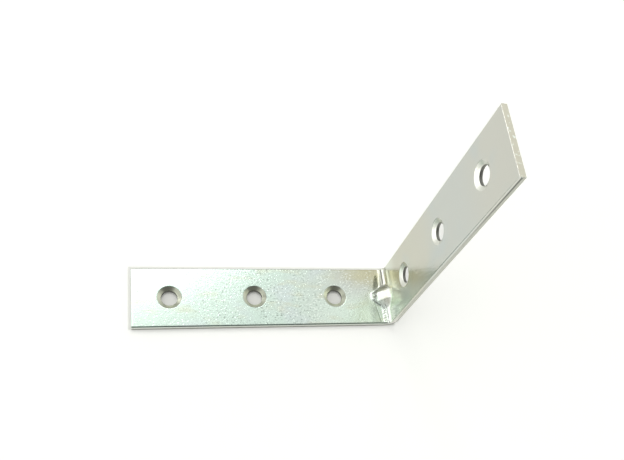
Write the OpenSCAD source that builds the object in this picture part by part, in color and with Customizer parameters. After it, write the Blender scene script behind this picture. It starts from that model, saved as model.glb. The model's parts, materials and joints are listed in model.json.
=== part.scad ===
// Angle bracket: one steel strip, punched and countersunk, bent once to a right angle,
// with a short stiffening rib pressed into the middle of the bend.
// Millimetres. The base leg lies along -X from the bend and the upright leg stands on the
// +X side. The origin is on the underside, halfway along the base leg and across the strip.

/* [Strip] */
// Length of the base leg, from its free end to the outer face of the upright leg
base_len = 100; // [90:1:160]
// Height of the upright leg, from the underside of the base leg to its free end
upright_len = 100; // [90:1:160]
// Width of the strip
strip_w = 23.5; // [18:0.5:40]
// Thickness of the strip
strip_t = 2; // [1.5:0.1:3]
// Radius that the shears roll onto the long edges of the countersunk face
rolled_edge_r = 0.4; // [0.2:0.05:0.6]

/* [Bend] */
// Inside radius of the bend
bend_r = 2.5; // [1.5:0.1:4]

/* [Screw holes] */
// Diameter of the screw holes
hole_d = 6; // [4:0.1:7]
// Diameter of the countersinks where they meet the surface
sink_d = 9; // [8:0.1:9.8]
// Full angle of the countersinks, in degrees
sink_angle = 120; // [90:1:130]
// Screw holes in each leg
hole_count = 3; // [1:1:3]
// Distance from one screw hole to the next
hole_pitch = 31.5; // [20:0.5:32]
// Free end of the base leg to the middle of its first hole
base_end = 13.5; // [8:0.5:15]
// Free end of the upright leg to the middle of its first hole
upright_end = 16; // [8:0.5:17]

/* [Rib] */
// Distance from the inside corner to the foot of the rib, along either leg
rib_reach = 5.5; // [4.5:0.1:7]
// Width of the flat crown of the rib
rib_crown_w = 2.5; // [2:0.1:5]
// Radius between the crown and the flanks
rib_edge_r = 1.5; // [0.4:0.1:2]
// Angle at which the flanks fall away from the crown, in degrees
rib_flank_angle = 44; // [40:1:65]
// Thickness of metal left between the crown and the dent behind it
rib_wall = 2; // [1:0.1:2.5]
// Width across the flat bottom of the dent
dent_w = 1.6; // [1:0.1:2]

/* [Hidden] */
$fn = 96;

// Outside radius of the bend
bend_outer_r = bend_r + strip_t;
// How far a cutting tool runs past the surface that it starts from
overrun = 1;
// How deep each countersink goes below the surface
sink_depth = (sink_d - hole_d) / 2 / tan(sink_angle / 2);
// Radius of a countersink where the tool starts, above the surface
sink_start_r = sink_d / 2 + overrun * tan(sink_angle / 2);
// Distance from the outer corner to the crown of the rib
crown_distance = (2 * strip_t + rib_reach) / sqrt(2);
// Radius between the flat bottom and the sides of the dent
dent_edge_r = 0.5;
// How far each flank starts inside its rounded edge, so that the two always meet
flank_seat = 0.0005;
// Length of the pressing tools, long enough to pass out of both legs
press_len = 4 * (bend_outer_r + 2 * rib_reach);

// Cross-section of the strip: the outer face is at x = 0 and the countersunk face at
// x = strip_t, where both edges are rolled over
module strip_section() {
    edge = strip_w / 2 - rolled_edge_r;
    translate([0, -strip_w / 2])
        square([strip_t - rolled_edge_r, strip_w]);
    translate([0, -edge])
        square([strip_t, 2 * edge]);
    for (side = [-1, 1])
        translate([strip_t - rolled_edge_r, side * edge])
            circle(r = rolled_edge_r);
}

// One screw hole, sunk from the top of a flat strip
module screw_hole() {
    translate([0, 0, -overrun])
        cylinder(d = hole_d, h = strip_t + 2 * overrun);
    translate([0, 0, strip_t - sink_depth])
        cylinder(r1 = hole_d / 2, r2 = sink_start_r, h = sink_depth + overrun);
}

// One flat leg with its row of holes: it lies along -X from the bend, countersinks up
module leg(length, end_distance) {
    difference() {
        translate([-length, 0, 0])
            rotate([0, 90, 0])
                rotate([0, 0, 180])
                    linear_extrude(height = length - bend_outer_r)
                        strip_section();
        for (i = [0 : hole_count - 1])
            translate([-length + end_distance + i * hole_pitch, 0, 0])
                screw_hole();
    }
}

// The quarter turn between the legs, about a line across the strip
module bend() {
    translate([-bend_outer_r, 0, bend_outer_r])
        rotate([90, 0, 0])
            rotate_extrude(angle = 90, start = 270)
                translate([bend_outer_r, 0])
                    mirror([1, 0])
                        strip_section();
}

// Everything inside the fold from a given depth below its outer face, with a round corner
module inside_fold(depth) {
    reach = press_len / 2;
    rotate([90, 0, 0])
        linear_extrude(height = strip_w, center = true) {
            translate([-reach, depth])
                square([reach - bend_outer_r, reach - depth]);
            translate([-reach, bend_outer_r])
                square([reach - depth, reach - bend_outer_r]);
            translate([-bend_outer_r, bend_outer_r])
                circle(r = bend_outer_r - depth);
        }
}

// A pressing tool that crosses the corner at 45 degrees: a ridge with a flat top of a
// given width, rounded edges and sloping flanks, whose top is a given distance from the
// outer corner
module press_tool(top_distance, flat_w, edge_r) {
    flank_r = edge_r - flank_seat;
    round_x = flat_w / 2 + flank_r * sin(rib_flank_angle);
    round_y = top_distance - edge_r + flank_r * cos(rib_flank_angle);
    foot_x = round_x + round_y / tan(rib_flank_angle);
    rotate([0, -45, 0])
        rotate([90, 0, 90])
            linear_extrude(height = press_len, center = true) {
                polygon([
                    [-foot_x, 0],
                    [foot_x, 0],
                    [round_x, round_y],
                    [flat_w / 2, top_distance],
                    [-flat_w / 2, top_distance],
                    [-round_x, round_y]
                ]);
                for (side = [-1, 1])
                    translate([side * flat_w / 2, top_distance - edge_r])
                        circle(r = edge_r);
            }
}

// The whole bracket
module bracket() {
    color("gainsboro")
        translate([base_len / 2, 0, 0])
            difference() {
                union() {
                    leg(base_len, base_end);
                    bend();
                    mirror([1, 0, 1])
                        leg(upright_len, upright_end);
                    intersection() {
                        press_tool(crown_distance, rib_crown_w, rib_edge_r);
                        inside_fold(strip_t / 2);
                    }
                }
                press_tool(crown_distance - rib_wall, dent_w, dent_edge_r);
            }
}

bracket();
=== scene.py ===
import json
import math

import bpy
import numpy as np
from mathutils import Matrix, Vector


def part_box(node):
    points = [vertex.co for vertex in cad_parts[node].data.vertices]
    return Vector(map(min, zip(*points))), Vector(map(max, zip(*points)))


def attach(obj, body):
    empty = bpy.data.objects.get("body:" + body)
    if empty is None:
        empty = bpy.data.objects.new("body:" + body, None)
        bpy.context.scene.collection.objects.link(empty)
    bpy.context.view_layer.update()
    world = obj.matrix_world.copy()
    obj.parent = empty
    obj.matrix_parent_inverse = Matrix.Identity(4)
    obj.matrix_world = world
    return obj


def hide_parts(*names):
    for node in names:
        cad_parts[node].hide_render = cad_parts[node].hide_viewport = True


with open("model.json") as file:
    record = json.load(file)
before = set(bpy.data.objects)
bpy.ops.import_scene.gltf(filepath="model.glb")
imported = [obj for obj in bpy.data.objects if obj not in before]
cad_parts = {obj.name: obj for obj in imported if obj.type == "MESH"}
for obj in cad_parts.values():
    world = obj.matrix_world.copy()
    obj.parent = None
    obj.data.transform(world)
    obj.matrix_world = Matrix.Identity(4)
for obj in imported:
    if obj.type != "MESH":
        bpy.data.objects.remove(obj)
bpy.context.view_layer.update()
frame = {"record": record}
boxLow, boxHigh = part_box("bracket")
mounts = {mount["name"]: mount for mount in frame["record"]["mounts"]}
mm = 0.001
print("frame loaded")


# What a user would change on the bracket, in millimetres and degrees.
# Leg lengths, strip width, hole places and hole radius come from the frame.
bracketSizes = {
    "thickness": 2.0,
    "bendRadius": 2.5,
    "sinkRadius": 4.5,
    "sinkAngle": 120.0,
    "sinkRim": 0.12,  # rounding of the countersink's edge
    # edges of the bore as (past the hole's radius, over the throat or over the outer face)
    "throatEase": [(0.05, 0.02), (0.01, -0.04), (0.0, -0.1)],
    "lowerEase": [(0.0, 0.12), (0.02, 0.04), (0.07, 0.0)],
    "ribReach": 5.5,
    "ribCrown": 2.5,
    "ribCorner": 1.5,
    "ribFlank": 44.0,
    "ribOffset": -0.55,  # it was struck a little off the middle
    "ribTipBlend": 1.7,
    "ribFlankBlend": 0.8,
    "ribBlendChange": (0.8, 2.6),  # from the middle: where the one blend gives way to the other
    "dentCrown": 1.6,
    "dentCorner": 0.5,
    "dentBlend": 0.7,
    "rolledWidth": 0.6,
    "rolledDrop": 0.36,
    "rolledPower": 1.15,  # 1 is a circle's sine and cosine, more draws the curve in
    "burrEdge": 0.1,
    "shearRecess": 0.06,
    "tornTop": (1.0, 0.7),  # heights over which the torn zone of the cut begins
    "tornBottom": 0.35,
    "endRound": 0.08,
    "endDroop": 0.05,
    "droopLength": 0.6,
    "creaseAway": (3.0, 1.35),  # from the bend to the die's crease, by the rib and at the edge
    "creaseSpan": (2.6, 11.2),  # from the middle: where it starts and stops closing in
    "dieClear": (1.8, 3.2),  # from the middle: no die mark up to the first, all of it at the second
    "dieSlope": 8.0,
    "dieToe": 0.5,  # from the bend to where the slope stops deepening
    "slopeFade": (-0.5, 1.25),  # into the bend: where the slope runs out
    "dieStep": 0.07,
    "stepEdge": 0.12,
    "stepLevelTurn": 21.0,  # the step stays level up to this turn of the arc
    "stepFadeTurn": (20.0, 36.0),
    "grooveDepth": 0.07,
    "grooveWidth": 0.16,
    "waviness": 0.02,
    "waveLengths": (7.3, 3.9),
    "waveWidths": (6.1, 5.2),
    "waveSway": 0.9,
    "shortWave": 0.6,  # how strong the shorter wave is beside the longer one
    "calmBend": (9.0, 16.0),  # from the middle of the bend: where the waves come in
    "calmEnd": 6.0,
    # spacing of the mesh, and how many points or faces go into each part of it
    "mesh": {
        "endSteps": (0, 0.03, 0.07, 0.12, 0.2, 0.3, 0.45, 0.65),
        "fineReach": 4.0,
        "fineStep": 0.15,
        "middleGap": 0.2,
        "middleReach": 9.1,
        "middleStep": 0.3,
        "coarseStep": 0.9,
        "blockHalf": 6.0,  # half the side of the square block that a hole's rings fill
        "blockCount": 36,
        "outerCount": 12,
        "edgeSteps": (0.12, 0.06),
        "burrPoints": 4,
        "wallPoints": 11,
        "rollPoints": 8,
        "rimPoints": 5,
        "conePoints": 8,
        "plateShares": (0.3, 0.55, 0.75, 0.88, 0.96),  # rings from the block's edge to the rim
    },
}


def smoothStep(low, high, value):
    # 0 below low, 1 above high, and an S-shaped rise between them
    share = np.clip((value - low) / (high - low), 0.0, 1.0)
    return share * share * (3 - 2 * share)


def smoothMax(first, second, width):
    # the larger of two values, with a quarter-width lift where they are close
    closeness = np.maximum(width - np.abs(first - second), 0.0) / width
    return np.maximum(first, second) + closeness ** 2 * width / 4


def makeFold(sizes):
    # where the strip bends: the flat lengths, the arc along the middle of the wall, the corner
    outerRadius = sizes["bendRadius"] + sizes["thickness"]
    return {
        "outerRadius": outerRadius,
        "arcLength": (sizes["bendRadius"] + sizes["thickness"] / 2) * math.pi / 2,
        "baseFlat": (boxHigh.x - boxLow.x) / mm - outerRadius,
        "uprightFlat": (boxHigh.z - boxLow.z) / mm - outerRadius,
        "halfWidth": (boxHigh.y - boxLow.y) / mm / 2,
        "cornerX": boxHigh.x / mm,
    }


def foldStrip(fold, along, across, height):
    # the flat strip wrapped round the bend: along is negative on the base leg, then runs
    # through the arc and up the upright leg; height counts from the outer face inwards
    radius = fold["outerRadius"]
    turn = np.clip(along / fold["arcLength"], 0, 1) * math.pi / 2
    before = np.minimum(along, 0)
    after = np.maximum(along - fold["arcLength"], 0)
    x = fold["cornerX"] - radius + before + (radius - height) * np.sin(turn)
    z = radius - (radius - height) * np.cos(turn) + after
    return np.stack([x, across + 0 * along, z], -1)


def pressSag(side, halfCrown, corner, flankTilt):
    # depth under a pressing tool's crest: flat crown, round corner, straight flank
    inCorner = np.clip(side - halfCrown, 0, corner * math.sin(flankTilt))
    past = np.maximum(side - halfCrown - corner * math.sin(flankTilt), 0)
    return corner - np.sqrt(corner ** 2 - inCorner ** 2) + math.tan(flankTilt) * past


def pressLift(fold, place, side, topDistance, halfCrown, corner, flankTilt):
    # how far the pressing tool stands above a point, measured from the outer corner inwards
    # along the line that halves the fold
    inwardness = (fold["cornerX"] - place[..., 0] + place[..., 2]) / math.sqrt(2)
    return topDistance - pressSag(side, halfCrown, corner, flankTilt) - inwardness


def dieDip(fold, sizes, along, across):
    # how deep the bending die sank into the base leg beside the bend: behind the rib a slope
    # that deepens towards the arc, in front of it a groove and a shallow step that stays level
    # into the arc
    radius = sizes["bendRadius"]
    side = np.abs(across)
    nearRib, nearEdge = sizes["creaseSpan"]
    atRib, atEdge = sizes["creaseAway"]
    crease = atRib + (atEdge - atRib) * np.clip((side - nearRib) / (nearEdge - nearRib), 0, 1)
    farAway = 99.0
    fromBend = np.where(along < fold["arcLength"] / 2, -along, farAway)
    turn = np.clip(-fromBend / fold["arcLength"] * 90, 0, 45)
    slope = math.tan(math.radians(sizes["dieSlope"]))
    depth = slope * np.clip(crease - np.maximum(fromBend, sizes["dieToe"]), 0, None)
    behind = depth * (1 - smoothStep(*sizes["slopeFade"], -fromBend))
    levelTurn = np.radians(np.minimum(turn, sizes["stepLevelTurn"]))
    level = (radius + sizes["dieStep"]) / np.cos(levelTurn) - radius
    ahead = level * smoothStep(-sizes["stepEdge"], sizes["stepEdge"], crease - fromBend)
    ahead = ahead * (1 - smoothStep(*sizes["stepFadeTurn"], turn))
    groove = sizes["grooveDepth"] * np.exp(-((fromBend - crease) / sizes["grooveWidth"]) ** 2)
    return np.where(across > 0, behind, ahead + groove) * smoothStep(*sizes["dieClear"], side)


def insideHeight(fold, sizes, along, across):
    # height of the countersunk face over the outer one, without the rib: the wall less the
    # die's dip, the free ends' droop under the shear, and long low waves of the sheet that
    # leave out the rib and the ends
    inside = sizes["thickness"] - dieDip(fold, sizes, along, across)
    fromEnd = np.minimum(along + fold["baseFlat"], fold["arcLength"] + fold["uprightFlat"] - along)
    inside = inside - sizes["endDroop"] * np.maximum(1 - fromEnd / sizes["droopLength"], 0) ** 2
    (long, short), (wide, narrow) = sizes["waveLengths"], sizes["waveWidths"]
    wave = np.sin(along / long + sizes["waveSway"] * np.sin(across / wide))
    wave = wave + sizes["shortWave"] * np.sin(along / short - across / narrow)
    wave = wave / (1 + sizes["shortWave"])
    fromBend = np.abs(along - fold["arcLength"] / 2)
    calm = smoothStep(*sizes["calmBend"], fromBend) * smoothStep(0, sizes["calmEnd"], fromEnd)
    return inside - sizes["waviness"] * (1 + wave) / 2 * calm


def ribLifts(fold, sizes, along, across, inside):
    # how far the rib rises over the countersunk face, and the dent into the outer face
    crest = (2 * sizes["thickness"] + sizes["ribReach"]) / math.sqrt(2)
    tilt = math.radians(sizes["ribFlank"])
    side = np.abs(across - sizes["ribOffset"])
    rib = pressLift(fold, foldStrip(fold, along, across, inside), side, crest,
                    sizes["ribCrown"] / 2, sizes["ribCorner"], tilt)
    dent = pressLift(fold, foldStrip(fold, along, across, 0 * inside), side,
                     crest - sizes["thickness"], sizes["dentCrown"] / 2, sizes["dentCorner"], tilt)
    toFlank = smoothStep(*sizes["ribBlendChange"], side)
    blend = sizes["ribTipBlend"] * (1 - toFlank) + sizes["ribFlankBlend"] * toFlank
    return smoothMax(rib, 0 * rib, blend), smoothMax(dent, 0 * dent, sizes["dentBlend"])


def sectionLoop(fold, sizes, columns):
    # the closed cross-section as (across, height, isSide): bottom, right side, top, left side;
    # columns are the places across that both flat faces share
    thickness, half = sizes["thickness"], fold["halfWidth"]
    rolledWidth, rolledDrop, burr = sizes["rolledWidth"], sizes["rolledDrop"], sizes["burrEdge"]
    power, steps = sizes["rolledPower"], sizes["mesh"]
    burrTurn = np.linspace(0, math.pi / 2, steps["burrPoints"])[1:]
    rollTurn = np.linspace(0, math.pi / 2, steps["rollPoints"])[:-1]
    wall = np.linspace(burr, thickness - rolledDrop, steps["wallPoints"])[1:-1]
    torn = smoothStep(*sizes["tornTop"], wall) * smoothStep(burr, sizes["tornBottom"], wall)
    sideAcross = np.concatenate([half - burr + burr * np.sin(burrTurn),
                                 half - sizes["shearRecess"] * torn,
                                 half - rolledWidth + rolledWidth * np.cos(rollTurn) ** power])
    sideHeight = np.concatenate([burr - burr * np.cos(burrTurn), wall,
                                 thickness - rolledDrop + rolledDrop * np.sin(rollTurn) ** power])
    outermost = np.abs(columns) > columns.max() - 1e-9
    top = np.where(outermost, np.sign(columns) * (half - rolledWidth), columns)
    bottom = np.where(outermost, np.sign(columns) * (half - burr), columns)
    across = np.concatenate([bottom, sideAcross, top[::-1], -sideAcross[::-1]])
    height = np.concatenate([0 * bottom, sideHeight, 0 * top + thickness, sideHeight[::-1]])
    sheared = (sideHeight < thickness - rolledDrop - 1e-6) * 1.0
    isSide = np.concatenate([0 * bottom, sheared, 0 * top, sheared[::-1]])
    return across, height, isSide


def sheetColumns(fold, sizes):
    # places across the strip: even over the holes' blocks, closer together at the edges
    steps = sizes["mesh"]
    half = steps["blockHalf"]
    edge = fold["halfWidth"] - sizes["rolledWidth"]
    first, second = steps["edgeSteps"]
    outer = np.linspace(half, edge - first, steps["outerCount"])[1:]
    outer = np.concatenate([outer, [edge - second, edge]])
    inner = np.linspace(-half, half, steps["blockCount"] + 1)
    return np.concatenate([-outer[::-1], inner, outer]), len(outer)


def alongRows(fold, holes, steps):
    # rows along the strip: fine over the bend, at the ends and in each hole's block
    start, finish = -fold["baseFlat"], fold["arcLength"] + fold["uprightFlat"]
    endSteps = np.array(steps["endSteps"])
    bend, fine, half = fold["arcLength"], steps["fineReach"], steps["blockHalf"]
    middle, reach, step = fine + steps["middleGap"], steps["middleReach"], steps["middleStep"]
    marks = [start + endSteps, finish - endSteps[::-1]]
    marks += [np.arange(-fine, bend + fine, steps["fineStep"]), np.arange(-reach, -middle, step)]
    marks += [np.arange(bend + middle, bend + reach, step)]
    marks += [np.linspace(hole - half, hole + half, steps["blockCount"] + 1) for hole in holes]
    marks = sorted(marks, key=lambda part: part[0])
    rows = [marks[0]]
    for before, after in zip(marks[:-1], marks[1:]):
        count = max(int((after[0] - before[-1]) / steps["coarseStep"]), 1)
        rows.append(np.linspace(before[-1], after[0], count + 1)[1:-1])
        rows.append(after)
    return np.concatenate(rows)


def blockLoop(rowStart, columnStart, count):
    # the grid places round a square block, in step with an angle that starts at -135 degrees
    steps = np.arange(count)
    still = 0 * steps
    rows = np.concatenate([rowStart + steps, rowStart + count + still,
                           rowStart + count - steps, rowStart + still])
    columns = np.concatenate([columnStart + still, columnStart + steps,
                              columnStart + count + still, columnStart + count - steps])
    return rows, columns


def holeProfile(sizes, holeRadius):
    # the wall of a hole as rings of (radius, height, isCut) from the sunk face to the outer one:
    # rounded rim, cone, eased throat, straight wall, eased lower edge; isCut is 1 on the cone
    # and 2 in the bore
    thickness, rim, steps = sizes["thickness"], sizes["sinkRim"], sizes["mesh"]
    halfAngle = math.radians(sizes["sinkAngle"] / 2)
    throat = thickness - (sizes["sinkRadius"] - holeRadius) / math.tan(halfAngle)
    turn = np.linspace(0, math.pi / 2 - halfAngle, steps["rimPoints"])
    rimRadius = sizes["sinkRadius"] + rim - 2 * rim * np.sin(turn)
    rimHeight = thickness - 2 * rim * (1 - np.cos(turn))
    throatOut, throatUp = np.array(sizes["throatEase"]).T
    lowerOut, lowerUp = np.array(sizes["lowerEase"]).T
    boreRadius = holeRadius + np.concatenate([throatOut, [0.0], lowerOut])
    boreHeight = np.concatenate([throat + throatUp, [throat / 2], lowerUp])
    share = np.linspace(0, 1, steps["conePoints"])[1:-1]
    coneRadius = rimRadius[-1] + (boreRadius[0] - rimRadius[-1]) * share
    coneHeight = rimHeight[-1] + (boreHeight[0] - rimHeight[-1]) * share
    radius = np.concatenate([rimRadius, coneRadius, boreRadius])
    height = np.concatenate([rimHeight, coneHeight, boreHeight])
    bore = 0 * boreRadius[1:-1] + 2
    isCut = np.concatenate([0 * rimRadius, 0 * coneRadius + 1, [1], bore, [0]])
    return radius, height, isCut


def screwPlaces(fold):
    # where the screw holes lie along the flat strip, and the radius that they share
    places = []
    for name, mount in mounts.items():
        if "screw" in name:
            x, z = mount["pos_m"][0] / mm, mount["pos_m"][2] / mm
            onBase = x - fold["cornerX"] + fold["outerRadius"]
            onUpright = z - fold["outerRadius"] + fold["arcLength"]
            places.append(onBase if name.startswith("base") else onUpright)
            radius = mount["dims"]["r_mm"]
    return sorted(places), radius


def addPoints(shell, body, mark):
    # puts a grid of (along, across, height, lift) points into the shell; gives their numbers
    numbers = shell["count"] + np.arange(body[..., 0].size).reshape(body.shape[:-1])
    shell["count"] += numbers.size
    shell["points"].append(body.reshape(-1, 4))
    shell["marks"].append(np.broadcast_to(mark, body.shape[:-1] + (2,)).reshape(-1, 2))
    return numbers


def netQuads(net):
    # the four corners of each mesh of a net of point numbers, taken round in one direction
    return np.stack([net[:-1, :-1], net[:-1, 1:], net[1:, 1:], net[1:, :-1]], -1)


def stripSkin(shell, fold, sizes, rows, columns):
    # the section loop carried along the rows: each height is a share of the way from the outer
    # to the countersunk face, and so is each lift by the rib
    across, height, isSide = sectionLoop(fold, sizes, columns)
    along = np.repeat(rows[:, None], len(across), 1)
    across = np.repeat(across[None, :], len(rows), 0)
    inside = insideHeight(fold, sizes, along, across)
    share = height[None, :] / sizes["thickness"]
    insideLift, outsideLift = ribLifts(fold, sizes, along, across, inside)
    lift = outsideLift * (1 - share) + insideLift * share
    # a small round on the end faces, drawn in towards the middle of the wall
    endIn = np.minimum(rows - rows[0], rows[-1] - rows)
    endRound = sizes["endRound"]
    drawn = endRound - np.sqrt(endRound ** 2 - np.clip(endRound - endIn, 0, None) ** 2)
    drawn = drawn[:, None]
    across = across * (1 - drawn / fold["halfWidth"])
    height = np.clip(inside * share, drawn, inside - drawn)
    body = np.stack([along, across, height, lift], -1)
    return addPoints(shell, body, np.stack([isSide, 0 * isSide], -1)[None])


def endCaps(shell, grid, columns, sideCount):
    # rows of points from one side wall to the other close both ends of the strip
    columnCount = len(columns)
    topStart = columnCount + sideCount
    fraction = ((columns - columns[0]) / (columns[-1] - columns[0]))[1:-1, None]
    skin = shell["points"][0]
    for row, step in ((0, -1), (len(grid) - 1, 1)):
        rightSide = grid[row, columnCount:topStart]
        leftSide = grid[row, topStart + columnCount:][::-1]
        body = skin[leftSide][:, None] * (1 - fraction) + skin[rightSide][:, None] * fraction
        numbers = addPoints(shell, body, (1.0, 0.0))
        net = np.concatenate([leftSide[:, None], numbers, rightSide[:, None]], 1)
        bottomRow = grid[row, :columnCount]
        topRow = grid[row, topStart:topStart + columnCount][::-1]
        net = np.concatenate([bottomRow[None], net, topRow[None]], 0)
        shell["faces"].append(netQuads(net).reshape(-1, 4)[:, ::step])


def screwHole(shell, fold, sizes, hole, holeRadius, topIds, bottomIds):
    # rings from the square block in the sunk face down the wall of the hole and out below
    ringRadius, ringHeight, isCut = holeProfile(sizes, holeRadius)
    angle = np.radians(-135) + np.arange(len(topIds)) / len(topIds) * 2 * math.pi
    share = np.array(sizes["mesh"]["plateShares"])[:, None, None]
    circle = np.stack([np.cos(angle), np.sin(angle), 0 * angle, 0 * angle], -1)[None]
    still = 0 * ringHeight
    centre = np.stack([hole + still, still, ringHeight, still], -1)[:, None]
    rings = circle * ringRadius[:, None, None] + centre
    sunk = insideHeight(fold, sizes, rings[0, :, 0], rings[0, :, 1]) - sizes["thickness"]
    rings[..., 2] += sunk * (ringHeight / sizes["thickness"])[:, None]
    skin = shell["points"][0]
    topPlates = skin[topIds] * (1 - share) + rings[0] * share
    lowPlates = (skin[bottomIds] * (1 - share) + rings[-1] * share)[::-1]
    plain = np.zeros(len(share))
    cut = np.concatenate([plain, isCut, plain])
    mark = np.stack([0 * cut, cut], -1)[:, None]
    numbers = addPoints(shell, np.concatenate([topPlates, rings, lowPlates]), mark)
    chain = np.concatenate([topIds[None], numbers, bottomIds[None]])
    chain = np.concatenate([chain, chain[:, :1]], 1)
    shell["faces"].append(netQuads(chain).reshape(-1, 4))


def buildBracket(sizes):
    # the skin less a square block at each hole, the end caps, and the holes' rings in the blocks;
    # then everything is folded round the bend and lifted by the rib
    fold, steps = makeFold(sizes), sizes["mesh"]
    holes, holeRadius = screwPlaces(fold)
    shell = {"points": [], "marks": [], "faces": [], "count": 0}
    columns, firstColumn = sheetColumns(fold, sizes)
    rows = alongRows(fold, holes, steps)
    grid = stripSkin(shell, fold, sizes, rows, columns)
    count, columnCount = steps["blockCount"], len(columns)
    sideCount = grid.shape[1] // 2 - columnCount
    lastTop = columnCount + sideCount + columnCount - 1
    topColumn = lastTop - firstColumn - count
    starts = [int(np.argmin(np.abs(rows - (hole - steps["blockHalf"])))) for hole in holes]
    keep = np.ones((grid.shape[0] - 1, grid.shape[1]), bool)
    for start in starts:
        keep[start:start + count, firstColumn:firstColumn + count] = False
        keep[start:start + count, topColumn:topColumn + count] = False
    closed = np.concatenate([grid, grid[:, :1]], 1)
    shell["faces"].append(netQuads(closed)[keep])
    endCaps(shell, grid, columns, sideCount)
    for start, hole in zip(starts, holes):
        blockRows, blockColumns = blockLoop(start, firstColumn, count)
        bottomIds = grid[blockRows, blockColumns]
        topIds = grid[blockRows, lastTop - blockColumns]
        screwHole(shell, fold, sizes, hole, holeRadius, topIds, bottomIds)
    used, faces = np.unique(np.concatenate(shell["faces"]), return_inverse=True)
    flat, marks = np.concatenate(shell["points"])[used], np.concatenate(shell["marks"])[used]
    place = foldStrip(fold, flat[:, 0], flat[:, 1], flat[:, 2])
    place = place + flat[:, 3:] * np.array([-1, 0, 1]) / math.sqrt(2)
    return place * mm, faces.reshape(-1, 4), flat[:, :3], marks


def meshObject(name, points, faces):
    # whole arrays of points and of four-sided faces put into a mesh that is shaded smooth
    mesh = bpy.data.meshes.new(name)
    mesh.vertices.add(len(points))
    mesh.vertices.foreach_set("co", points.astype(np.float32).ravel())
    mesh.loops.add(faces.size)
    mesh.loops.foreach_set("vertex_index", faces.astype(np.int32).ravel())
    mesh.polygons.add(len(faces))
    mesh.polygons.foreach_set("loop_start", np.arange(0, faces.size, 4, dtype=np.int32))
    mesh.update(calc_edges=True)
    mesh.shade_smooth()
    thing = bpy.data.objects.new(name, mesh)
    bpy.context.scene.collection.objects.link(thing)
    return thing


points, faces, flat, marks = buildBracket(bracketSizes)
bracket = meshObject("zinc_bracket", points, faces)
layer = bracket.data.attributes.new("sheetPlace", "FLOAT_VECTOR", "POINT")
layer.data.foreach_set("vector", flat.astype(np.float32).ravel())
for number, label in enumerate(("shearMark", "sinkMark")):
    layer = bracket.data.attributes.new(label, "FLOAT", "POINT")
    layer.data.foreach_set("value", marks[:, number].astype(np.float32))
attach(bracket, "root")
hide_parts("bracket")
print("bracket built:", len(faces), "faces")


def linearColor(hexColor):
    # sRGB to linear: ((c + 0.055) / 1.055) to the power 2.4, or c / 12.92 in the dark toe
    values = [int(hexColor[k:k + 2], 16) / 255 for k in (1, 3, 5)]
    return [v / 12.92 if v <= 0.04045 else ((v + 0.055) / 1.055) ** 2.4 for v in values] + [1.0]


def addNode(tree, kind, settings=None, inputs=None):
    # settings are the node's own options; inputs are hex colours, plain values or other
    # nodes' outputs
    node = tree.nodes.new(kind)
    for name, value in (settings or {}).items():
        setattr(node, name, value)
    for name, value in (inputs or {}).items():
        if isinstance(value, bpy.types.NodeSocket):
            tree.links.new(value, node.inputs[name])
        else:
            node.inputs[name].default_value = linearColor(value) if isinstance(value, str) else value
    return node


def newTree(owner):
    # a material's or world's own node tree, emptied
    owner.use_nodes = True
    owner.node_tree.nodes.clear()
    return owner.node_tree


def spanMask(tree, values, strength, spans):
    # strength times every span. A span with only a name is that value as it is; one with two
    # ends is an S-shaped rise from 0 at the first end, or from the lowest level given after
    # them, to 1 at the second
    mask = strength
    for name, *ends in spans:
        part = values[name]
        if ends:
            part = addNode(tree, "ShaderNodeMapRange", {"interpolation_type": "SMOOTHSTEP"}, {
                "Value": part, "From Min": ends[0], "From Max": ends[1],
                "To Min": sum(ends[2:])}).outputs["Result"]
        mask = addNode(tree, "ShaderNodeMath", {"operation": "MULTIPLY"},
                       {0: mask, 1: part}).outputs[0]
    return mask


def layered(tree, values, base, layers, kind="RGBA"):
    # the base with each layer's value mixed over it in turn, as far as its mask says
    first, second, result = {"RGBA": (6, 7, 2), "FLOAT": (2, 3, 0)}[kind]  # the mix node's sockets
    level = base
    for value, strength, spans in layers:
        mask = spanMask(tree, values, strength, spans)
        level = addNode(tree, "ShaderNodeMix", {"data_type": kind},
                        {0: mask, first: level, second: value}).outputs[result]
    return level


# Spans that several layers share, in millimetres on the flat sheet: X runs along it (0 where the
# bend starts, below 0 on the base leg), Y across it, Z through it from the outer face.
onUpright = ("X", -2.0, 6.0)
speckled = [("swarm", 0.36, 0.56), ("X", -1.5, -4.0), ("X", -86.0, -58.0, 0.12)]

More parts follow.
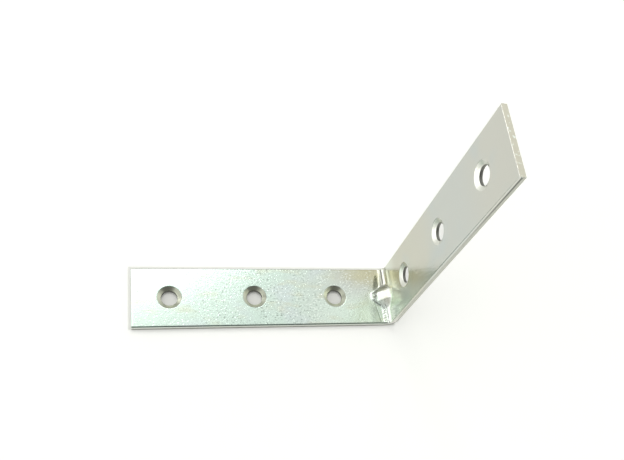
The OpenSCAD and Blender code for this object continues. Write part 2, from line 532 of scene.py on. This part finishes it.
# What a user would change on the zinc finish: hex colours, patterns in millimetres, and layers of
# (what, how strongly, where).
zincFinish = {
    "mintFilm": "#C3D5C9",
    "paleFilm": "#D6E6D8",
    "plainFilm": "#D1D1C9",
    "strawFilm": "#C4C2A4",
    "blueFilm": "#C6CFD0",
    "speckTint": "#7E8A7E",
    "scuffTint": "#7C7D6C",
    "brightSpeck": "#EEF5EC",
    "shearTint": "#F2F2EC",
    "tornTint": "#A8AAA2",
    "dullShear": "#C6C7BD",
    "darkCut": "#4E524C",
    "endTint": "#D0CEBC",
    "sinkTint": "#C9CDB9",
    "litSinkPaint": "#DFE0D8",
    "landTint": "#8C8D86",
    # noise: size of its grain, detail, stretch along the strip and across it; the real grain and
    # rolling lines are finer, and are drawn as coarse as they need to show
    "patterns": {
        "patch": (16.0, 2.0, 1.0, 1.0),
        "blotch": (5.0, 2.0, 1.0, 1.0),
        "streak": (9.0, 2.0, 1.0, 3.0),
        "swarm": (7.0, 2.0, 1.0, 1.0),
        "speck": (0.62, 1.0, 0.75, 1.0),
        "nick": (1.1, 1.0, 1.0, 1.0),
        "tipShadePatches": (0.7, 1.0, 0.35, 1.0),
        "flankShadePatches": (0.9, 1.0, 0.6, 1.0),
        "grain": (0.8, 3.0, 1.0, 1.0),
        "rollingLine": (0.35, 2.0, 0.02, 1.0),
        "shearScore": (0.25, 3.0, 1.0, 0.15),
        "crownScore": (0.55, 1.0, 0.04, 1.0),
        "stepPit": (0.55, 1.0, 1.0, 1.0),
    },
    "pitSize": 1.1,
    # over the mint film
    "filmLayers": [
        ("plainFilm", 0.6, [("X", -50.0, -4.0)]),
        ("paleFilm", 1.0, [("X", -35.0, -12.0), ("Y", 4.0, -6.0)]),
        ("plainFilm", 1.0, [onUpright]),
        ("blueFilm", 0.5, [("patch", 0.52, 0.68)]),
        # straw: in the back corner, in streaks on the base leg, low on the upright
        ("strawFilm", 1.0, [("X", -26.0, -3.0), ("X", 3.0, -1.0), ("Y", 2.0, 9.0),
                            ("blotch", 0.1, 0.45)]),
        ("strawFilm", 0.35, [("streak", 0.5, 0.75), ("X", 4.0, -4.0)]),
        ("strawFilm", 0.3, [("X", 75.0, 12.0), onUpright]),
        ("blueFilm", 0.35, [("X", 40.0, 55.0), ("X", 88.0, 70.0)]),
        # swarms of dull specks on the base leg, bright ones towards the bend
        ("speckTint", 0.6, [("speck", 0.44, 0.26), ("X", -18.0, -34.0, 0.3)] + speckled),
        ("brightSpeck", 0.55, [("speck", 0.56, 0.72), ("X", -75.0, -20.0)] + speckled),
        # painted highlight beside the bend and in front of the rib, painted shade in the back corner
        ("brightSpeck", 0.45, [("X", 4.8, 6.2), ("X", 17.0, 9.0)]),
        ("brightSpeck", 0.15, [("X", -1.2, 0.2), ("X", 6.6, 5.6), ("Y", -2.0, -4.0)]),
        ("scuffTint", 0.45, [("X", 4.2, 4.8), ("X", 6.2, 5.6), ("Y", 2.0, 3.5)]),
        # painted shade: the rib's tip and its front flank darkened in patches where they mirror dark
        ("scuffTint", 0.75, [("tipShadePatches", 0.35, 0.6), ("X", -3.6, -2.9), ("X", -0.2, -1.2),
                             ("Y", -1.9, -0.9), ("Y", 2.6, 1.8)]),
        ("scuffTint", 0.35, [("flankShadePatches", 0.2, 0.7), ("X", -3.4, -2.2), ("X", 7.2, 6.0),
                             ("Y", -4.6, -4.0), ("Y", -1.6, -2.3)]),
    ],
    # sheared walls: the torn zone low down, duller on the upright, painted dark reflection high in
    # the front one towards the upright's end, and the yellower end face with bright nicks
    "cutLayers": [
        ("tornTint", 1.0, [("Z", 0.60, 0.30)]),
        ("dullShear", 1.0, [("X", 4.0, 12.0)]),
        ("darkCut", 0.85, [("X", 60.0, 98.0), ("Y", -11.0, -11.4), ("Z", 0.8, 1.2)]),
        ("endTint", 1.0, [("X", 100.9, 100.96)]),
        ("brightSpeck", 0.9, [("nick", 0.58, 0.66), ("X", 100.9, 100.96)]),
    ],
    "cutStrength": 0.9,
    "roughness": 0.18,
    # rougher on the rib, in the countersinks, in the sheared walls and in the bores
    "roughLayers": [
        (0.25, 1.0, [("X", -5.0, -3.6), ("X", 9.5, 7.5), ("Y", -5.6, -4.2), ("Y", 4.6, 3.2)]),
        (0.3, 1.0, [("sink", 0.1, 0.9)]),
        (0.5, 1.0, [("shear",)]),
        (0.6, 1.0, [("sink", 1.1, 1.9)]),
    ],
    # relief: depth in millimetres, and what shapes it
    "relief": [
        (0.03, [("grain",), ("X", -90.0, -55.0, 0.25)]),
        (0.003, [("rollingLine",)]),
        (0.02, [("pit", 0.05, 0.26)]),
        # scores through the sheet that the shear leaves in its cut
        (0.09, [("shearScore",), ("shear",)]),
        # the press scored the rib's crown and left the step in front of it pitted
        (0.22, [("crownScore",), ("X", -4.5, -3.0), ("X", 10.0, 8.5),
                ("Y", -2.2, -1.4), ("Y", 1.6, 0.8)]),
        (0.22, [("stepPit",), ("X", -0.6, 0.0), ("X", 2.6, 1.8), ("Y", -3.8, -4.8)]),
    ],
}


def zincValues(tree, finish):
    # everything that a span can name: the sheet's axes, the marks on it and the patterns
    place = addNode(tree, "ShaderNodeAttribute", {"attribute_name": "sheetPlace"}).outputs["Vector"]
    axes = addNode(tree, "ShaderNodeSeparateXYZ", {}, {0: place}).outputs
    values = {name: axes[name] for name in "XYZ"}
    for name in ("shear", "sink"):
        mark = addNode(tree, "ShaderNodeAttribute", {"attribute_name": name + "Mark"})
        values[name] = mark.outputs["Fac"]
    for name, (size, detail, lengthwise, crosswise) in finish["patterns"].items():
        stretched = addNode(tree, "ShaderNodeVectorMath", {"operation": "MULTIPLY"}, {
            0: place, 1: (lengthwise, crosswise, crosswise)}).outputs[0]
        values[name] = addNode(tree, "ShaderNodeTexNoise", {}, {
            "Vector": stretched, "Scale": 1 / size, "Detail": detail}).outputs[0]
    values["pit"] = addNode(tree, "ShaderNodeTexVoronoi", {"feature": "F1"}, {
        "Vector": place, "Scale": 1 / finish["pitSize"]}).outputs["Distance"]
    return values


def zincFilm(tree, values, finish):
    # the film's layers, then the thinner, duller coat in the cuts, the countersinks and the bores
    films = [(finish[tint], *rest) for tint, *rest in finish["filmLayers"]]
    cuts = [(finish[tint], *rest) for tint, *rest in finish["cutLayers"]]
    film = layered(tree, values, finish["mintFilm"], films)
    cut = layered(tree, values, finish["shearTint"], cuts)
    # the upright's countersinks are painted paler, as if more brightly lit
    sunk = layered(tree, values, finish["sinkTint"], [(finish["litSinkPaint"], 1.0, [onUpright])])
    return layered(tree, values, film, [
        (cut, finish["cutStrength"], [("shear",)]),
        (sunk, 1.0, [("sink", 0.1, 0.9)]),
        (finish["landTint"], 1.0, [("sink", 1.1, 1.9)])])


def zincRelief(tree, values, finish):
    # the sum of all patterns, each as deep as it is and only where it belongs
    height = 0.0
    for depth, spans in finish["relief"]:
        part = spanMask(tree, values, depth, spans)
        height = addNode(tree, "ShaderNodeMath", {"operation": "ADD"},
                         {0: height, 1: part}).outputs[0]
    return addNode(tree, "ShaderNodeBump", {}, {
        "Height": height, "Distance": mm, "Strength": 1.0}).outputs[0]


def zincPlate(finish):
    # bright zinc electroplate over cold-rolled strip: a soft mirror with a fine grain, faint
    # rolling lines along the strip and a thin passivate film that shifts from mint to straw
    material = bpy.data.materials.new("bright_zinc_plate")
    tree = newTree(material)
    values = zincValues(tree, finish)
    shader = addNode(tree, "ShaderNodeBsdfPrincipled", {}, {
        "Base Color": zincFilm(tree, values, finish), "Metallic": 1.0,
        "Roughness": layered(tree, values, finish["roughness"], finish["roughLayers"], "FLOAT"),
        "Normal": zincRelief(tree, values, finish)})
    addNode(tree, "ShaderNodeOutputMaterial", {}, {"Surface": shader.outputs[0]})
    return material


# What a user would change on the paper under the bracket, in millimetres and degrees.
paperLook = {
    "color": "#F3F4EE",
    "whiteLift": 0.26,
    "clearance": 0.3,
    "shadeLeft": 1.0,  # the strip's own shade reaches this far past it on the left
    "shadeBehind": 1.5,  # and this far behind it
    "windowGain": 7.0,
    "windowSpan": (-80.0, -400.0),
    "mirroredUnder": 0.55,
    "mirrorEdge": 0.5,
    "shadeTurn": -43.6,  # the way the upright's shade falls
    "shadeAhead": [(1.0, 4.0), (85.0, 50.0)],  # from the upright: where it comes in and runs out
    "shadeAside": (7.5, 4.5),
    "shadeDepth": 0.6,
}


def sightFactor(tree, inMirror):
    # 1 for the camera's own rays and for those seen through, another share for mirrored ones
    path = addNode(tree, "ShaderNodeLightPath").outputs
    mirrored = addNode(tree, "ShaderNodeMath", {"operation": "MULTIPLY"},
                       {0: path["Is Glossy Ray"], 1: inMirror}).outputs[0]
    seen = addNode(tree, "ShaderNodeMath", {"operation": "MAXIMUM"},
                   {0: path["Is Camera Ray"], 1: mirrored}).outputs[0]
    return addNode(tree, "ShaderNodeMath", {"operation": "MAXIMUM"},
                   {0: seen, 1: path["Is Transmission Ray"]}).outputs[0]


def paperValues(tree, look):
    # what the paper's spans can name: its axes, and those turned the way the upright's shade
    # falls; then where it is clear of the strip's own shade and of the shadow painted behind the
    # upright
    place = addNode(tree, "ShaderNodeTexCoord").outputs["Object"]
    place = addNode(tree, "ShaderNodeVectorMath", {"operation": "MULTIPLY"},
                    {0: place, 1: (1 / mm, 1 / mm, 1 / mm)}).outputs[0]
    corner = boxHigh.x / mm
    turned = addNode(tree, "ShaderNodeVectorRotate", {"rotation_type": "Z_AXIS"}, {
        "Vector": place, "Center": (corner, 0, 0),
        "Angle": math.radians(look["shadeTurn"])}).outputs[0]
    axes = addNode(tree, "ShaderNodeSeparateXYZ", {}, {0: place}).outputs
    turnedAxes = addNode(tree, "ShaderNodeSeparateXYZ", {}, {0: turned}).outputs
    values = {"X": axes["X"], "Y": axes["Y"], "ahead": turnedAxes["X"], "aside": turnedAxes["Y"]}
    left, clear = boxLow.x / mm - look["shadeLeft"], look["clearance"]
    front, back = boxLow.y / mm, boxHigh.y / mm + look["shadeBehind"]
    under = spanMask(tree, values, 1.0, [("X", left - clear, left), ("X", corner + clear, corner),
                                         ("Y", front - clear, front), ("Y", back + clear, back)])
    ahead = [("ahead", corner + start, corner + end) for start, end in look["shadeAhead"]]
    wide, narrow = look["shadeAside"]
    aside = [("aside", wide, narrow), ("aside", -wide, -narrow)]
    # painted shadow: a stripe behind the upright where the white lift is held back
    shade = spanMask(tree, values, look["shadeDepth"], ahead + aside)
    for name, mask in (("clear", under), ("unshaded", shade)):
        values[name] = addNode(tree, "ShaderNodeMath", {"operation": "SUBTRACT"},
                               {0: 1.0, 1: mask}).outputs[0]
    return values


def paperFloor(look):
    # matt white paper: its shade is lifted to white where it is seen, but not under the strip,
    # so that the paper in the screw holes and the shadow along the edges stay
    material = bpy.data.materials.new("white_paper")
    tree = newTree(material)
    values = paperValues(tree, look)
    # painted reflection: mirrors see the glow in full only in front of the strip, so its front wall
    # shows it brighter
    front, edge = boxLow.y / mm, look["mirrorEdge"]
    inMirror = spanMask(tree, values, 1.0, [("Y", front + edge, front - edge,
                                             look["mirroredUnder"])])
    values["sight"] = sightFactor(tree, inMirror)
    # painted pool of light: the glow is stronger towards the window on the left
    gain = look["windowGain"]
    strength = spanMask(tree, values, look["whiteLift"] * gain, [
        ("X", *look["windowSpan"], 1 / gain), ("clear",), ("unshaded",), ("sight",)])
    paper = addNode(tree, "ShaderNodeBsdfDiffuse", {}, {"Color": look["color"]})
    glow = addNode(tree, "ShaderNodeEmission", {}, {"Strength": strength})
    both = addNode(tree, "ShaderNodeAddShader", {}, {0: paper.outputs[0], 1: glow.outputs[0]})
    addNode(tree, "ShaderNodeOutputMaterial", {}, {"Surface": both.outputs[0]})
    return material


def layFloor(half):
    # a square sheet of paper round the world's origin, as wide as twice half
    corners = [(-half, -half, 0), (half, -half, 0), (half, half, 0), (-half, half, 0)]
    mesh = bpy.data.meshes.new("floor")
    mesh.from_pydata(corners, [], [(0, 1, 2, 3)])
    mesh.materials.append(paperFloor(paperLook))
    floor = bpy.data.objects.new("floor", mesh)
    bpy.context.scene.collection.objects.link(floor)
    return floor


bracket.data.materials.append(zincPlate(zincFinish))
floor = layFloor(3.0)
print("materials made")

# Where the viewer stands and looks, in metres; upHint points up in the picture.
viewer = {
    "place": (-0.0439, -0.0995, 0.2213),
    "aim": (0.0164, -0.0120, 0.0),
    "upHint": (0.1099, 0.9939, 0),
    "lens": 37.11,
    "sensor": 36,
    "shift": 0.1556,
}

# The room that the metal mirrors. A patch is the way to it, the angle from there at which it has
# faded out, the angle inside which it is full, and its level.
studioLight = {
    "keyWay": (-0.03, 0.62, 0.78),
    "keyAngle": 24.0,
    "keyStrength": 0.5,
    "lowLevel": 0.60,
    "highLevel": 1.04,
    "levelSpan": (0.2, 0.62),
    "brighter": {
        "ceiling": ((-0.02, 0.40, 0.92), 30.0, 6.0, 0.38),
        "side": ((0.92, 0.35, 0.2), 50.0, 25.0, 0.45),
        "glow": ((-0.19, 0.39, 0.90), 9.0, 4.0, 1.4),  # shows on the upright beside the bend
        "fill": ((-0.62, -0.77, 0.15), 40.0, 16.0, 0.38),  # shows on the rib's front flank
    },
    "darker": {
        "front": ((0.22, -0.70, 0.69), 46.0, 34.0, 0.19),
        "wall": ((-0.64, 0.38, 0.665), 15.0, 8.0, 0.42),  # above the window
    },
    "window": ((-0.94, 0.20, 0.15), 46.0, 30.0, 2.1),
    "windowRise": (0.0, 2.0, 25.0, 31.0),  # its lower and upper edges, each with its fade
    "horizon": (0.03, 0.005),
}


def setCamera(view):
    # it looks from its place to the aim; its right side is square to that way and to upHint
    camera = bpy.data.objects.new("camera", bpy.data.cameras.new("camera"))
    bpy.context.scene.collection.objects.link(camera)
    camera.data.lens = view["lens"]
    camera.data.sensor_width = view["sensor"]
    camera.data.shift_y = view["shift"]
    camera.data.clip_start = 0.01
    place = Vector(view["place"])
    forward = (Vector(view["aim"]) - place).normalized()
    right = forward.cross(Vector(view["upHint"])).normalized()
    up = right.cross(forward)
    turn = Matrix((right, up, -forward)).transposed()
    camera.matrix_world = Matrix.Translation(place) @ turn.to_4x4()
    bpy.context.scene.camera = camera


def keyLamp(light):
    # a soft lamp behind the fold, high up: it throws the short shadows in the holes
    lamp = bpy.data.lights.new("key", "SUN")
    lamp.energy = light["keyStrength"]
    lamp.angle = math.radians(light["keyAngle"])
    thing = bpy.data.objects.new("key", lamp)
    thing.matrix_world = Vector(light["keyWay"]).to_track_quat("Z", "Y").to_matrix().to_4x4()
    bpy.context.scene.collection.objects.link(thing)


def studioWorld(light):
    # walls that grow paler upwards, with brighter and darker patches, and a window low on the left
    world = bpy.data.worlds.new("studio")
    tree = newTree(world)
    direction = addNode(tree, "ShaderNodeTexCoord").outputs["Generated"]
    axes = addNode(tree, "ShaderNodeSeparateXYZ", {}, {0: direction}).outputs
    path = addNode(tree, "ShaderNodeLightPath").outputs
    values = {"Z": axes["Z"], "mirrored": path["Is Glossy Ray"]}
    spans = {}
    patches = {**light["brighter"], **light["darker"], "window": light["window"]}
    for name, (way, wide, narrow, _) in patches.items():
        values[name] = addNode(tree, "ShaderNodeVectorMath", {"operation": "DOT_PRODUCT"}, {
            0: direction, 1: Vector(way).normalized()}).outputs["Value"]
        spans[name] = (name, math.cos(math.radians(wide)), math.cos(math.radians(narrow)))
    low, high = light["lowLevel"], light["highLevel"]
    level = spanMask(tree, values, high, [("Z", *light["levelSpan"], low / high)])
    for name, patch in light["brighter"].items():
        part = spanMask(tree, values, patch[-1], [spans[name]])
        level = addNode(tree, "ShaderNodeMath", {"operation": "ADD"}, {0: level, 1: part}).outputs[0]
    shades = [(patch[-1], 1.0, [spans[name]]) for name, patch in light["darker"].items()]
    level = layered(tree, values, level, shades, "FLOAT")
    sill, overSill, underTop, top = [math.sin(math.radians(rise)) for rise in light["windowRise"]]
    window = spanMask(tree, values, light["window"][-1], [
        spans["window"], ("Z", sill, overSill), ("Z", top, underTop)])
    level = addNode(tree, "ShaderNodeMath", {"operation": "ADD"}, {0: level, 1: window}).outputs[0]
    # the background itself is white: everywhere for the camera and seen through, and in a band
    # above the horizon for what the metal mirrors, so that it meets the floor's white
    white = spanMask(tree, values, 1.0, [("mirrored",), ("Z", *light["horizon"])])
    for ray in ("Is Camera Ray", "Is Transmission Ray"):
        white = addNode(tree, "ShaderNodeMath", {"operation": "MAXIMUM"},
                        {0: white, 1: path[ray]}).outputs[0]
    level = addNode(tree, "ShaderNodeMix", {}, {0: white, 2: level, 3: 1.0}).outputs[0]
    sky = addNode(tree, "ShaderNodeBackground", {}, {"Strength": level})
    addNode(tree, "ShaderNodeOutputWorld", {}, {"Surface": sky.outputs[0]})
    bpy.context.scene.world = world


setCamera(viewer)
keyLamp(studioLight)
studioWorld(studioLight)
bpy.context.scene.view_settings.view_transform = "Standard"
print("camera and light set")
